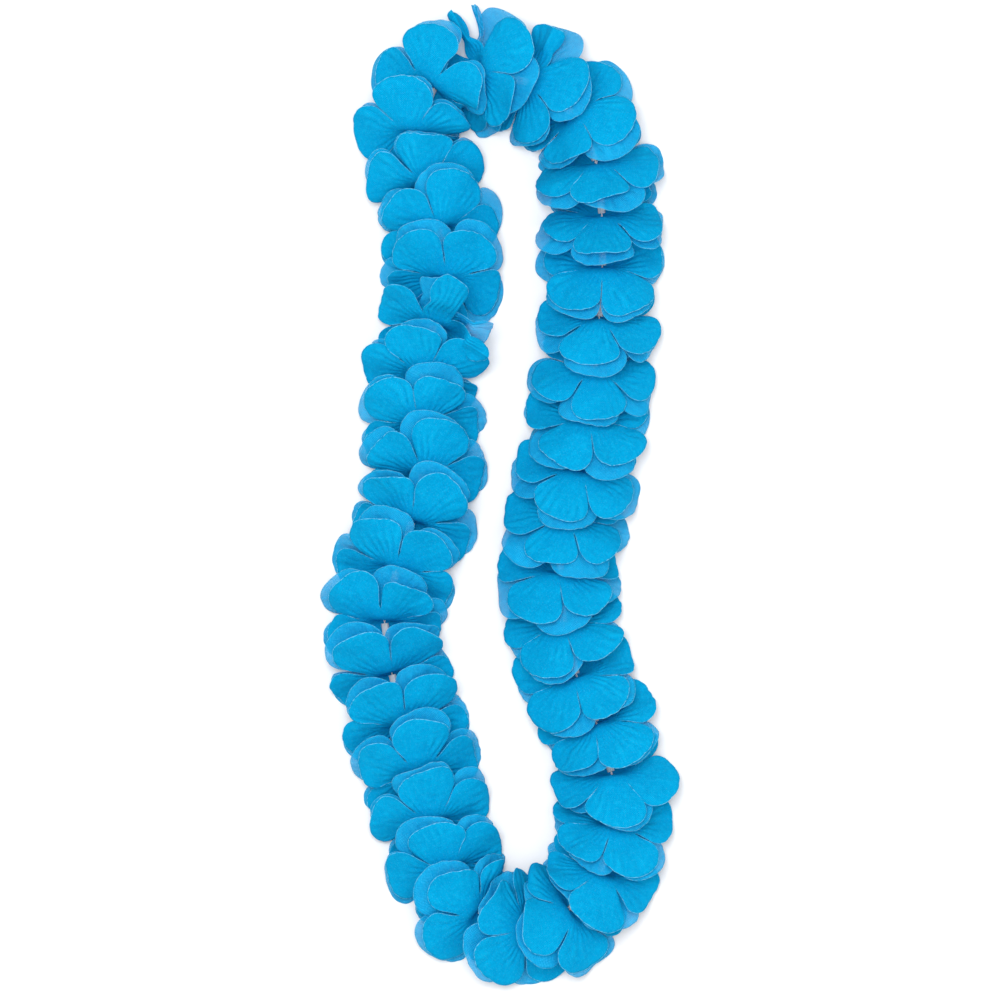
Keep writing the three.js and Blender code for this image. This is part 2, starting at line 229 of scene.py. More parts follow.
class StringPath:
    """The string's closed route, and how cloth laid beside it is carried round its bends."""

    def __init__(self):
        corners = (np.array(ROUTE, float) - ROUTE_MIDDLE) * MM
        t = np.linspace(0, 1, ROUTE_DIVISIONS, endpoint=False)[:, None]
        runs = []
        for i in range(len(corners)):
            a, b, c, d = (corners[(i + k) % len(corners)] for k in (-1, 0, 1, 2))
            leave, arrive = (c - a) / 2, (d - b) / 2
            runs.append(
                (2 * t**3 - 3 * t**2 + 1) * b
                + (t**3 - 2 * t**2 + t) * leave
                + (3 * t**2 - 2 * t**3) * c
                + (t**3 - t**2) * arrive
            )
        points = np.concatenate(runs)
        self.points = np.concatenate([points, points[:1]])
        steps = np.linalg.norm(np.diff(self.points, axis=0), axis=1)
        self.marks = np.concatenate([[0], np.cumsum(steps)])
        self.length = float(self.marks[-1])

    def at(self, along):
        along = np.mod(along, self.length)
        return np.stack([np.interp(along, self.marks, self.points[:, k]) for k in (0, 1)], -1)

    def bend(self, along):
        """How sharply the string bends, positive to the left."""
        here = self.at(along)
        before, after = here - self.at(along - BEND_REACH), self.at(along + BEND_REACH) - here
        before /= np.linalg.norm(before, axis=-1, keepdims=True)
        after /= np.linalg.norm(after, axis=-1, keepdims=True)
        cross = before[..., 0] * after[..., 1] - before[..., 1] * after[..., 0]
        return np.arcsin(cross) / BEND_REACH

    def ways(self, along):
        """The directions ahead along the string, and to its left."""
        ahead = self.at(along + BEND_EASE) - self.at(along - BEND_EASE)
        ahead /= np.linalg.norm(ahead, axis=-1, keepdims=True)
        return ahead, np.stack([-ahead[..., 1], ahead[..., 0]], -1)

    def beside(self, station, ahead, aside, up):
        """Points given ahead of a station, aside to its left and up, carried round the bends.

        Cloth is too stiff to bend wholly with the string: the further aside, the more it keeps
        the direction that the string has at the cloth's own station.
        """
        along = station + ahead
        inward = self.bend(along) * np.sign(aside)
        room = CROWDING / np.maximum(inward, LEAST_BEND)
        crowded = room * np.cbrt(np.tanh((np.abs(aside) / room) ** 3))
        reach = np.where(room < FREE_ROOM, crowded, np.abs(aside)) * np.sign(aside)
        bent = self.at(along) + self.ways(along)[1] * reach[..., None]
        ahead_way, left_way = self.ways(station)
        straight = self.at(station) + ahead_way * ahead[..., None]
        straight = straight + left_way * reach[..., None]
        stiffness = np.where(inward > 0, *KEEPS_FORM) * smooth(0, REACH[1], np.abs(aside))
        place = bent + (straight - bent) * stiffness[..., None]
        return np.concatenate([place, np.broadcast_to(up, reach.shape)[..., None]], -1)


path = StringPath()
PITCH = path.length / len(FLOWERS)
STATIONS = np.array([i * PITCH + f[3] * MM for i, f in enumerate(FLOWERS)])


def hole_points():
    """Where the string goes through each flower."""
    return np.array([[*path.at(station), STRING_HEIGHT] for station in STATIONS])


def cloth_points(flower, layer, radius, angle, curl):
    """Follows a layer's cloth out from the hole, step by step, to points at these radii."""
    lean, floor = math.radians(FLOWERS[flower][0]), REST_HEIGHT[layer]
    ahead = np.full(radius.shape, -layer * LAYER_ROOM / 2)
    left, up = np.zeros(radius.shape), np.full(radius.shape, STRING_HEIGHT)
    step = radius / MARCH_STEPS
    cos_a, sin_a = np.cos(angle), np.sin(angle)
    for s in range(MARCH_STEPS):
        r = (s + 0.5) * step
        bent = smooth(PINCH_RADIUS, BEND_RADIUS, r)
        slope, droop = lean * bent, r * sin_a / ARCH_RADIUS * bent
        cup = CUP + HUB_CUP * (1 - smooth(HUB_CUP_FROM, HUB_CUP_TO, r))
        curled = curl * smooth(SLIT_RADIUS, REACH[-1], r)
        lift = np.tan(np.radians((layer * cup + curled) * smooth(CUP_FROM, CUP_TO, r)))
        x = cos_a * np.sin(slope) - lift * np.cos(slope)
        y = sin_a * np.cos(droop)
        z = cos_a * np.cos(slope) - sin_a * np.sin(droop) + lift * np.sin(slope)
        size = np.sqrt(x * x + y * y + z * z)
        x, y, z = x / size, y / size, z / size
        level = smooth(floor - FLOOR_PRESS, floor + FLOOR_EASE, up)
        z = np.where(z < 0, z * level, z)
        stretch = np.sqrt(np.maximum(1 - z * z, 0)) / np.maximum(np.hypot(x, y), LEAST_RUN)
        ahead, left, up = ahead + x * stretch * step, left + y * stretch * step, up + z * step
        up = np.maximum(up, floor)
    return path.beside(STATIONS[flower], ahead, left, up)


def petal_angles(flower):
    """Where the two layers' first petals point, in radians."""
    upper, under = FLOWERS[flower][1:3]
    half = PETAL_DEGREES // 2
    if flower + 1 in HALF_TURNED:
        under = upper + half
    turned = (under - upper + half) % PETAL_DEGREES - half
    return {1: math.radians(upper), -1: math.radians(upper + turned)}


def layer_reach(flower, layer):
    """How far a layer's petals reach from its hole."""
    return SMALL_REACH if layer < 0 and flower + 1 in SMALL_UNDER else REACH[layer]


def slit_draw(flower, layer, petal):
    """How far open the cut after a petal stands, from 0 to 1; most are nearly closed."""
    return draw(flower + SLIT_DRAW, layer, petal % PETALS) ** 2


def petal_edge(flower, layer, petal, across, look):
    """How far from the hole a petal's cut edge is, at places from its right side to its left."""
    pleated = FOLDS.get((flower + 1, layer, petal), NOT_FOLDED)[0] < PLEAT_SHARE
    reach = layer_reach(flower, layer) * (PLEAT_REACH if pleated else 1)
    tip = reach * (1 + SIZE_SPREAD * (draw(flower + LENGTH_DRAW, layer, petal) - 0.5))
    least, most = ROUNDNESS
    power = least + (most - least) * draw(flower + ROUNDNESS_DRAW, layer, petal)
    round_tip = np.sqrt(np.maximum(1 - np.abs(across) ** power, 0))
    bows = look.scallops * (1 + SCALLOP_SPREAD * (draw(flower + SCALLOP_DRAW, layer, petal) - 0.5))
    start = SCALLOP_START * draw(flower + START_DRAW, layer, petal)
    drifted = across + SCALLOP_DRIFT * np.sin(DRIFT_TURN * across + start)
    bow = np.abs(np.sin((drifted + 1) * bows * math.pi / 2 + start))
    lopsided = LOPSIDED * np.sin(LOPSIDED_TURN * across + 2 * start)
    edge = tip * (SHOULDER + (1 - SHOULDER + lopsided) * round_tip)
    return edge - look.scallop_depth * (1 - bow) * round_tip


def layer_grid(flower, layer, look):
    """One layer's cloth as a grid: its points, its four-sided faces and its attributes."""
    across = np.sin(np.linspace(-1, 1, ACROSS_CELLS + 1) * math.pi / 2)
    start = petal_angles(flower)[layer]
    points, faces = [], []
    attributes = {name: [] for name in ("across", "along", "petal", "edge", "cut_x", "cut_y")}

    def add(radius, angle, curl, across, along, petal, edge):
        radius, angle = np.broadcast_arrays(radius, angle)
        first = sum(len(p) for p in points)
        points.append(cloth_points(flower, layer, radius.ravel(), angle.ravel(), curl))
        cut_x, cut_y = radius * np.cos(angle - start), radius * np.sin(angle - start)
        for name, value in zip(attributes, (across, along, petal, edge, cut_x, cut_y)):
            attributes[name].append(np.broadcast_to(value, radius.shape).ravel())
        return first + np.arange(radius.size).reshape(radius.shape)

    # The hub: whole rings, whose columns are the petals' own.
    pattern = np.array([draw(flower + PATTERN_DRAW, layer, k) for k in range(PETALS)])
    hub_across = np.tile(across[:-1], PETALS)
    petal_of = np.repeat(np.arange(PETALS), ACROSS_CELLS)
    hub_angle = start + petal_of * PETAL_ANGLE + hub_across * PETAL_ANGLE / 2
    hub_radius = np.linspace(HOLE_RADIUS, SLIT_RADIUS, HUB_CELLS + 1)[:, None]
    hub = add(hub_radius, hub_angle[None], 0, hub_across[None], hub_radius / SLIT_RADIUS - 1,
              pattern[petal_of][None], hub_radius - HOLE_RADIUS)
    hub = np.concatenate([hub, hub[:, :1]], axis=1)
    faces.append(quads(hub))

    share = (np.arange(ALONG_CELLS) + 1)[:, None] / ALONG_CELLS
    off_middle = np.abs(across[None])
    for k in range(PETALS):
        share_left, pulled, standing, lift = FOLDS.get((flower + 1, layer, k), NOT_FOLDED)
        edge_radius = petal_edge(flower, layer, k, across, look)[None]
        radius = SLIT_RADIUS + share * (edge_radius - SLIT_RADIUS)
        opening = smooth(SLIT_RADIUS, SLIT_RADIUS + SLIT_OPENING, radius)
        right, left = slit_draw(flower, layer, k - 1), slit_draw(flower, layer, k)
        slit = SLIT_WIDTH + SLIT_SPREAD * np.where(across < 0, right, left)
        half = PETAL_ANGLE / 2 - opening * slit[None] / 2 / radius
        folding = smooth(SLIT_RADIUS, FOLDED_FROM, radius)
        half_seen = half * (1 - (1 - share_left) * folding)
        middle = start + k * PETAL_ANGLE + math.radians(pulled) * folding
        angle = middle + across[None] * half_seen
        curl = CURL_SPREAD * (draw(flower, layer, k) - 0.5)
        to_tip = (1 - share) * (edge_radius - SLIT_RADIUS)
        to_side = (1 - off_middle) * half * radius * SIDE_FRAY
        petal = add(radius, angle, curl, across[None], share, pattern[k],
                    np.minimum(to_tip, to_side))
        ridge = half * radius * math.sqrt(1 - share_left**2) * (1 - off_middle)
        points[-1][:, 2] += ((ridge * standing + lift * MM) * folding).ravel()
        root = hub[-1, k * ACROSS_CELLS : (k + 1) * ACROSS_CELLS + 1][None]
        faces.append(quads(np.concatenate([root, petal])))

    values = {name: np.concatenate(v) for name, v in attributes.items()}
    return np.concatenate(points), np.concatenate(faces), values


def quads(grid):
    """Four-sided faces over a grid of point numbers, which face up."""
    corners = [grid[:-1, :-1], grid[1:, :-1], grid[1:, 1:], grid[:-1, 1:]]
    return np.stack(corners, -1).reshape(-1, 4)


def add_room(sheets):
    """Measures how far each point may move before its cloth would touch another layer."""
    count = len(FLOWERS)
    for (flower, layer), (points, _, values) in sheets.items():
        near_points, near_faces = [], []
        for ahead in range(-NEIGHBOURS, NEIGHBOURS + 1):
            for other in LAYERS:
                if (ahead, other) != (0, layer):
                    p, f = sheets[(flower + ahead) % count, other][:2]
                    near_faces.append(f + sum(len(q) for q in near_points))
                    near_points.append(p)
        tree = BVHTree.FromPolygons(
            np.concatenate(near_points).tolist(), np.concatenate(near_faces).tolist())
        found = [tree.find_nearest(p, FAR)[3] for p in points.tolist()]
        values["gap"] = np.array([FAR if d is None else d for d in found])


# ---- nodes ---------------------------------------------------------------------------------


class Tree:
    """A node tree being built: adds nodes and links them in one call."""

    def __init__(self, tree):
        self.tree = tree

    def put(self, kind, inputs=None, output=0, **settings):
        """Adds a node, fills its inputs from values or sockets, and gives one of its outputs."""
        node = self.tree.nodes.new(kind)
        for name, value in settings.items():
            setattr(node, name, value)
        for key, value in (inputs or {}).items():
            self.fill(node.inputs[key], value)
        return node.outputs[output]

    def fill(self, socket, value):
        if isinstance(value, bpy.types.NodeSocket):
            self.tree.links.new(value, socket)
        else:
            socket.default_value = value

    def math(self, operation, a, b=0.0):
        return self.put("ShaderNodeMath", {0: a, 1: b}, operation=operation)

    def product(self, *factors):
        """Multiplies its factors in turn."""
        result = factors[0]
        for factor in factors[1:]:
            result = self.math("MULTIPLY", result, factor)
        return result

    def vector(self, operation, a, b):
        return self.put("ShaderNodeVectorMath", {0: a, 1: b}, operation=operation)

    def combine(self, x, y=0.0, z=0.0):
        return self.put("ShaderNodeCombineXYZ", {"X": x, "Y": y, "Z": z})

    def separate(self, vector):
        node = self.tree.nodes.new("ShaderNodeSeparateXYZ")
        self.fill(node.inputs[0], vector)
        return node.outputs


class ShapeTree(Tree):
    """A Geometry Nodes tree with named inputs."""

    def __init__(self, name, inputs):
        super().__init__(bpy.data.node_groups.new(name, "GeometryNodeTree"))
        self.tree.is_modifier = True
        face = self.tree.interface
        face.new_socket("Geometry", in_out="INPUT", socket_type="NodeSocketGeometry")
        face.new_socket("Geometry", in_out="OUTPUT", socket_type="NodeSocketGeometry")
        self.keys = {}
        for label, kind in inputs.items():
            socket = face.new_socket(label, in_out="INPUT", socket_type=f"NodeSocket{kind}")
            self.keys[label] = socket.identifier
        self.inputs = self.tree.nodes.new("NodeGroupInput").outputs

    def ease(self, value, start, end, low=0.0, high=1.0):
        return self.put(
            "ShaderNodeMapRange",
            {"Value": value, "From Min": start, "From Max": end, "To Min": low, "To Max": high},
            interpolation_type="SMOOTHSTEP",
        )

    def named(self, name, kind="FLOAT"):
        return self.put("GeometryNodeInputNamedAttribute", {"Name": name}, data_type=kind)

    def store(self, shape, name, value, kind="FLOAT", domain="POINT"):
        return self.put(
            "GeometryNodeStoreNamedAttribute",
            {"Geometry": shape, "Name": name, "Value": value},
            data_type=kind,
            domain=domain,
        )

    def join(self, *shapes):
        node = self.tree.nodes.new("GeometryNodeJoinGeometry")
        for shape in shapes:
            self.tree.links.new(shape, node.inputs[0])
        return node.outputs[0]

    def end(self, shape, *materials):
        """Realize Instances, then Set Material for each (material, selection)."""
        shape = self.put("GeometryNodeRealizeInstances", {"Geometry": shape})
        for material, selection in materials:
            shape = self.put(
                "GeometryNodeSetMaterial",
                {"Geometry": shape, "Material": material, "Selection": selection},
            )
        self.tree.links.new(shape, self.tree.nodes.new("NodeGroupOutput").inputs[0])

    def fit(self, piece, values):
        """Puts the tree on a piece as a modifier, with these inputs."""
        modifier = piece.modifiers.new(self.tree.name, "NODES")
        modifier.node_group = self.tree
        for label, value in values.items():
            modifier[self.keys[label]] = value


def petal_tree():
    """Embosses a layer's cloth with ribs, ruffles and crumples, and gives it its thickness."""
    t = ShapeTree("Petal Cloth", {
        "Rib Count": "Float", "Rib Depth": "Float", "Ruffle Waves": "Float",
        "Ruffle Depth": "Float", "Crumple Size": "Float", "Crumple Depth": "Float",
        "Seed": "Float", "Cloth Thickness": "Float", "Single Cloth From": "Float",
        "Cloth": "Material", "Single Cloth": "Material", "Cut Edge": "Material",
    })
    given = t.inputs
    across, along, petal = t.named("across"), t.named("along"), t.named("petal")
    flat = t.combine(t.named("cut_x"), t.named("cut_y"))
    seed = t.math("ADD", t.product(petal, NOISE_STEP), given["Seed"])

    def noise(size, detail, shift):
        """A noise from -1 to 1 over the flat cut, with features of this size."""
        where = t.vector("DIVIDE", flat, t.combine(size, size, 1.0))
        value = t.put(
            "ShaderNodeTexNoise",
            {"Vector": where, "W": t.math("ADD", seed, shift), "Scale": 1.0, "Detail": detail},
            noise_dimensions="4D",
        )
        return t.product(t.math("SUBTRACT", value, 0.5), 2.0)

    # Ribs fan out from the petal's root. Slow noises make them wander and differ in depth, and
    # they fade towards the hole, the tip and the sides.
    wander = t.product(noise(RIB_WANDER_SIZE, 1.0, RIB_NOISE), RIB_WANDER)
    shifted = t.math("ADD", wander, t.product(petal, RIB_SHIFT))
    turn = t.math("ADD", t.product(across, given["Rib Count"], math.pi), shifted)
    crest = t.math("POWER", t.math("ABSOLUTE", t.math("SINE", turn)), RIB_BLUNTNESS)
    ridge = t.math("SUBTRACT", t.product(crest, RIB_RISE), RIB_DIP)
    strength = t.product(noise(RIB_SPREAD_SIZE, 0.0, SPREAD_NOISE), RIB_SPREAD)
    strength = t.math("MAXIMUM", t.math("ADD", RIB_MEAN, strength), RIB_LEAST)
    rise = t.product(t.ease(along, -0.5, 0.25), t.ease(along, 0.7, 1.0, low=1.0, high=0.6))
    sides = t.ease(t.math("ABSOLUTE", across), 0.75, 1.0, low=1.0, high=0.25)
    rib = t.product(t.product(ridge, strength), t.product(rise, sides))

    # Ruffles grow towards the tip, and crumples are everywhere but round the hole.
    shifted = t.product(petal, RUFFLE_SHIFT)
    turn = t.math("ADD", t.product(across, given["Ruffle Waves"], math.pi), shifted)
    growing = t.math("POWER", t.ease(along, 0.0, 1.15), RUFFLE_GROWTH)
    ruffle = t.product(t.math("SINE", turn), growing)
    dents = noise(given["Crumple Size"], 2.0, CRUMPLE_NOISE)
    crumple = t.product(dents, t.ease(along, -0.5, 0.3))

    # All three together, held back to the room that the layers above and below leave.
    height = t.product(rib, given["Rib Depth"])
    height = t.math("ADD", height, t.product(ruffle, given["Ruffle Depth"]))
    height = t.math("ADD", height, t.product(crumple, given["Crumple Depth"]))
    kept_free = t.product(given["Cloth Thickness"], CLOTH_ROOM)
    room = t.product(t.math("SUBTRACT", t.named("gap"), kept_free), GAP_SHARE)
    room = t.math("MAXIMUM", room, 0.0)
    height = t.math("MAXIMUM", t.math("MINIMUM", height, room), t.product(room, -1.0))

    normal = t.put("GeometryNodeInputNormal")

    def push(shape, distance):
        """Moves a shape's points along their normals."""
        offset = t.vector("MULTIPLY", normal, t.combine(distance, distance, distance))
        return t.put("GeometryNodeSetPosition", {"Geometry": shape, "Offset": offset})

    moved = t.store(push(given["Geometry"], height), "rib", rib)
    # The cloth never dips into the surface that it lies on.
    x, y, z = t.separate(t.put("GeometryNodeInputPosition"))
    resting = t.product(given["Cloth Thickness"], 0.5)
    above = t.combine(x, y, t.math("MAXIMUM", z, resting))
    moved = t.put("GeometryNodeSetPosition", {"Geometry": moved, "Position": above})

    # Thickness: one face is pushed out along the normals, and the other is the sheet turned over.
    back = push(moved, t.product(given["Cloth Thickness"], -0.5))
    extrude = t.tree.nodes.new("GeometryNodeExtrudeMesh")
    extrude.mode = "FACES"
    t.fill(extrude.inputs["Mesh"], back)
    t.fill(extrude.inputs["Offset Scale"], given["Cloth Thickness"])
    t.fill(extrude.inputs["Individual"], False)
    walls = extrude.outputs["Side"]
    front = t.put("GeometryNodeSetShadeSmooth", {
        "Geometry": extrude.outputs["Mesh"], "Selection": walls, "Shade Smooth": False})
    front = t.store(front, "wall", walls, "BOOLEAN", "FACE")
    both = t.join(front, t.put("GeometryNodeFlipFaces", {"Mesh": back}))
    closed = t.put("GeometryNodeMergeByDistance", {"Geometry": both, "Distance": WELD})
    single = t.math("GREATER_THAN", along, given["Single Cloth From"])
    t.end(closed, (given["Cloth"], True), (given["Single Cloth"], single),
          (given["Cut Edge"], t.named("wall", "BOOLEAN")))
    return t


def straw_tree():
    """Puts a hollow straw half way along each edge of a line."""
    t = ShapeTree("Spacer Straws", {
        "Straw Length": "Float", "Straw Radius": "Float", "Wall": "Float", "Sides": "Int",
        "Straw": "Material",
    })
    given = t.inputs
    ends = t.tree.nodes.new("GeometryNodeInputMeshEdgeVertices")
    run = t.vector("SUBTRACT", ends.outputs["Position 2"], ends.outputs["Position 1"])
    line = t.store(given["Geometry"], "run", run, "FLOAT_VECTOR", "EDGE")
    middles = t.put("GeometryNodeMeshToPoints", {"Mesh": line}, mode="EDGES")
    middle_radius = t.math("SUBTRACT", given["Straw Radius"], t.product(given["Wall"], 0.5))
    hoop = t.put("GeometryNodeCurvePrimitiveCircle",
                 {"Resolution": given["Sides"], "Radius": middle_radius}, mode="RADIUS")
    section = t.put("GeometryNodeCurvePrimitiveQuadrilateral",
                    {"Width": given["Wall"], "Height": given["Straw Length"]}, mode="RECTANGLE")
    hoop = t.store(hoop, "around", t.put("GeometryNodeSplineParameter"))
    tube = t.put("GeometryNodeCurveToMesh", {"Curve": hoop, "Profile Curve": section})
    facing = t.math("ABSOLUTE", t.separate(t.put("GeometryNodeInputNormal"))[2])
    cut_ends = t.math("GREATER_THAN", facing, 0.7)
    tube = t.put("GeometryNodeSetShadeSmooth",
                 {"Geometry": tube, "Selection": cut_ends, "Shade Smooth": False})
    turned = t.put("FunctionNodeAlignRotationToVector",
                   {"Vector": t.named("run", "FLOAT_VECTOR")}, axis="Z")
    straws = t.put("GeometryNodeInstanceOnPoints",
                   {"Points": middles, "Instance": tube, "Rotation": turned})
    t.end(straws, (given["Straw"], True))
    return t


def string_tree():
    """Winds two plies round each other along a line."""
    t = ShapeTree("Twisted String", {
        "Ply Radius": "Float", "Twist Length": "Float", "Step": "Float", "Sides": "Int",
        "Yarn": "Material",
    })
    given = t.inputs
    line = t.put("GeometryNodeMeshToCurve", {"Mesh": given["Geometry"]})
    line = t.put("GeometryNodeResampleCurve", {"Curve": line, "Length": given["Step"]},
                 mode="LENGTH")
    along = t.put("GeometryNodeSplineParameter", output="Length")
    whole = t.put("GeometryNodeSplineLength", output="Length")
    turns = t.math("ROUND", t.math("DIVIDE", whole, given["Twist Length"]))
    tilt = t.product(t.math("DIVIDE", along, whole), turns, 2 * math.pi)
    line = t.put("GeometryNodeSetCurveTilt", {"Curve": line, "Tilt": tilt})
    ply = t.put("GeometryNodeCurvePrimitiveCircle",
                {"Resolution": given["Sides"], "Radius": given["Ply Radius"]}, mode="RADIUS")
    plies = []
    for side in (-1.0, 1.0):
        aside = t.combine(t.product(given["Ply Radius"], side * PLY_SPACING))
        plies.append(t.put("GeometryNodeTransform", {"Geometry": ply, "Translation": aside}))
    yarn = t.put("GeometryNodeCurveToMesh", {"Curve": line, "Profile Curve": t.join(*plies)})
    yarn = t.put("GeometryNodeSetShadeSmooth", {"Geometry": yarn, "Shade Smooth": True})
    t.end(yarn, (given["Yarn"], True))
    return t


# ---- materials -----------------------------------------------------------------------------


class Finish(Tree):
    """A material being built round one Principled shader."""

    def __init__(self, name):
        self.material = bpy.data.materials.new(name)
        self.material.use_nodes = True
        super().__init__(self.material.node_tree)
        self.shader = self.tree.nodes["Principled BSDF"]

    def set(self, **values):
        for name, value in values.items():
            self.fill(self.shader.inputs[name.replace("_", " ")], value)

    def range(self, value, start, end, low=0.0, high=1.0):
        return self.put("ShaderNodeMapRange", {
            "Value": value, "From Min": start, "From Max": end, "To Min": low, "To Max": high})

    def mix(self, share, a, b, blend="MIX"):
        node = self.tree.nodes.new("ShaderNodeMix")
        node.data_type, node.blend_type = "RGBA", blend
        self.fill(node.inputs[0], share)
        self.fill(node.inputs[6], a)
        self.fill(node.inputs[7], b)
        return node.outputs[2]

    def attribute(self, name):
        return self.put("ShaderNodeAttribute", output="Fac", attribute_name=name)

    def noise(self, where, scale, detail=2.0, output=0):
        """Noise with about this many features to a metre."""
        inputs = {"Vector": where, "Scale": scale, "Detail": detail}
        return self.put("ShaderNodeTexNoise", inputs, output)

    def bump(self, height, distance, strength=1.0):
        self.fill(self.shader.inputs["Normal"], self.put(
            "ShaderNodeBump", {"Height": height, "Distance": distance, "Strength": strength}))


def opaque(colour):
    return (*colour, 1.0)


def cloth_finish(name, look, alpha, painted_lift, painted_see_through):
    """Thin dyed plain-weave cloth: crossing threads, slubs, crinkles and a frayed cut edge, with
    painted highlights on raised ribs, crinkles and slubs, painted shade in the rib grooves, and
    painted light towards the hole and on a single layer.
    """
    f = Finish(name)
    where = f.put("ShaderNodeTexCoord", output="Object")
    cut = f.combine(f.attribute("cut_x"), f.attribute("cut_y"))

    # Crossing threads, which waver a little.
    waver = f.put("ShaderNodeVectorMath", {0: f.noise(cut, 260.0, 1.0, output=1), "Scale": 0.0012},
                  operation="SCALE")
    beat = math.pi / look.thread_pitch
    crossing = [f.math("SINE", f.product(way, beat))
                for way in f.separate(f.vector("ADD", cut, waver))[:2]]
    weave = f.product(*crossing)

    # Slubs are thicker stretches of single threads, so the noise is drawn out along each way.
    def slubs(x, y):
        return f.noise(f.vector("MULTIPLY", cut, (x, y, 1)), 1.0, 3.0)

    threads = f.math("ADD", slubs(1800, 260), slubs(260, 1800))
    crinkle = f.noise(where, 420.0, 4.0)
    rib = f.attribute("rib")
    # The weave shows more in some places than in others.
    clear = f.range(f.noise(cut, 320.0, 2.0), 0.35, 0.65, 0.35, 1.0)
    clear_weave = f.product(weave, clear)

    # The dye took more in some patches. A painted highlight makes it paler on the raised ribs,
    # crinkles and slubs, it is paler at random specks, and on a single layer painted light shows
    # through the open weave.
    patches = f.range(f.noise(where, 90.0, 3.0), 0.35, 0.7)
    tint = f.mix(patches, opaque(look.petal_deep), opaque(look.petal_blue))
    for place, start, end, most, specks_and_painted_light in (
        (rib, 0.35, 0.85, 0.32, look.painted_highlight_blue),
        (crinkle, 0.52, 0.72, 0.40, look.painted_highlight_blue),
        (threads, 0.85, 1.3, 0.45, look.painted_highlight_blue),
        (f.noise(cut, 1500.0, 1.0), 0.6, 0.74, 0.1, look.fray),
        (clear_weave, -0.1, 0.7, painted_see_through, look.painted_see_through_blue),
    ):
        tint = f.mix(f.range(place, start, end, 0.0, most), tint, opaque(specks_and_painted_light))

    # It is darker between its threads. Painted shade darkens it in the grooves between the ribs,
    # and painted light makes it lighter towards the hole and, by the painted lift, on a single
    # layer.
    shade = f.range(clear_weave, -1.0, 1.0, 0.66 * painted_lift, 1.16 * painted_lift)
    shade = f.product(shade, f.range(rib, -1.2, -0.3, 0.84, 1.0))
    shade = f.product(shade, f.range(f.attribute("along"), -1.0, 0.4, 1.2, 1.0))
    tint = f.mix(1.0, tint, f.combine(shade, shade, shade), "MULTIPLY")

    # The fray's width wanders along the cut edge.
    width = f.product(f.range(f.noise(cut, 700.0, 3.0), 0.35, 0.7), look.fray_width)
    frayed = f.math("LESS_THAN", f.attribute("edge"), width)
    f.set(
        Base_Color=f.mix(f.product(frayed, 0.7), tint, opaque(look.fray)),
        Roughness=f.range(threads, 0.6, 1.4, 0.9, 0.7),
        Specular_IOR_Level=0.02,
        Alpha=alpha,
    )
    height = f.math("ADD", f.product(weave, 0.03), f.product(threads, 0.07))
    f.bump(f.math("ADD", height, f.product(crinkle, 0.5)), 1.0 * MM, 0.9)
    return f.material


def fray_finish(look):
    """The cut edge itself, with the pale ends of some threads."""
    f = Finish("cut_edge")
    where = f.put("ShaderNodeTexCoord", output="Object")
    ends = f.range(f.noise(where, 1500.0, 3.0), 0.45, 0.7, 0.15, 0.9)
    f.set(
        Base_Color=f.mix(ends, opaque(look.petal_blue), opaque(look.fray)),
        Roughness=0.9,
        Specular_IOR_Level=0.05,
    )
    return f.material


def straw_finish(look):
    """Clear drawn plastic with faint lengthwise streaks."""
    f = Finish("clear_straw")
    streaks = f.noise(f.combine(f.attribute("around")), 22.0, 3.0)
    tint = f.mix(f.range(streaks, 0.4, 0.62), opaque(look.straw_shade), opaque(look.straw))
    f.set(
        Base_Color=tint,
        Roughness=f.range(streaks, 0.3, 0.7, 0.06, 0.22),
        Alpha=0.72,
        Coat_Weight=0.6,
        Coat_Roughness=0.08,
    )
    f.bump(streaks, 0.05 * MM, 0.4)
    return f.material


def yarn_finish(look):
    """White spun thread."""
    f = Finish("white_thread")
    where = f.put("ShaderNodeTexCoord", output="Object")
    fibres = f.noise(where, 4000.0, 3.0)
    tint = f.mix(f.range(fibres, 0.3, 0.7), opaque(look.thread_shade), opaque(look.thread))
    f.set(
        Base_Color=tint,
        Roughness=0.85,
        Sheen_Weight=0.3,
    )
    f.bump(fibres, 0.08 * MM, 0.8)
    return f.material


def floor_finish(look):
    """A pale matt surface with very faint clouds."""
    f = Finish("floor_white")
    where = f.put("ShaderNodeTexCoord", output="Object")
    clouds = f.range(f.noise(where, 6.0), 0.3, 0.7, 0.0, 0.3)
    f.set(
        Base_Color=f.mix(clouds, opaque(look.floor), opaque([0.97 * c for c in look.floor])),
        Roughness=0.9,
        Specular_IOR_Level=0.1,
    )
    return f.material


# ---- settings ------------------------------------------------------------------------------


def length(name, description, default):
    return FloatProperty(name=name, description=description, default=default, min=0.0,
                         subtype="DISTANCE", unit="LENGTH", precision=5)


def colour(name, description, default):
    return FloatVectorProperty(name=name, description=description, default=default, size=3,
                               min=0.0, max=1.0, subtype="COLOR")


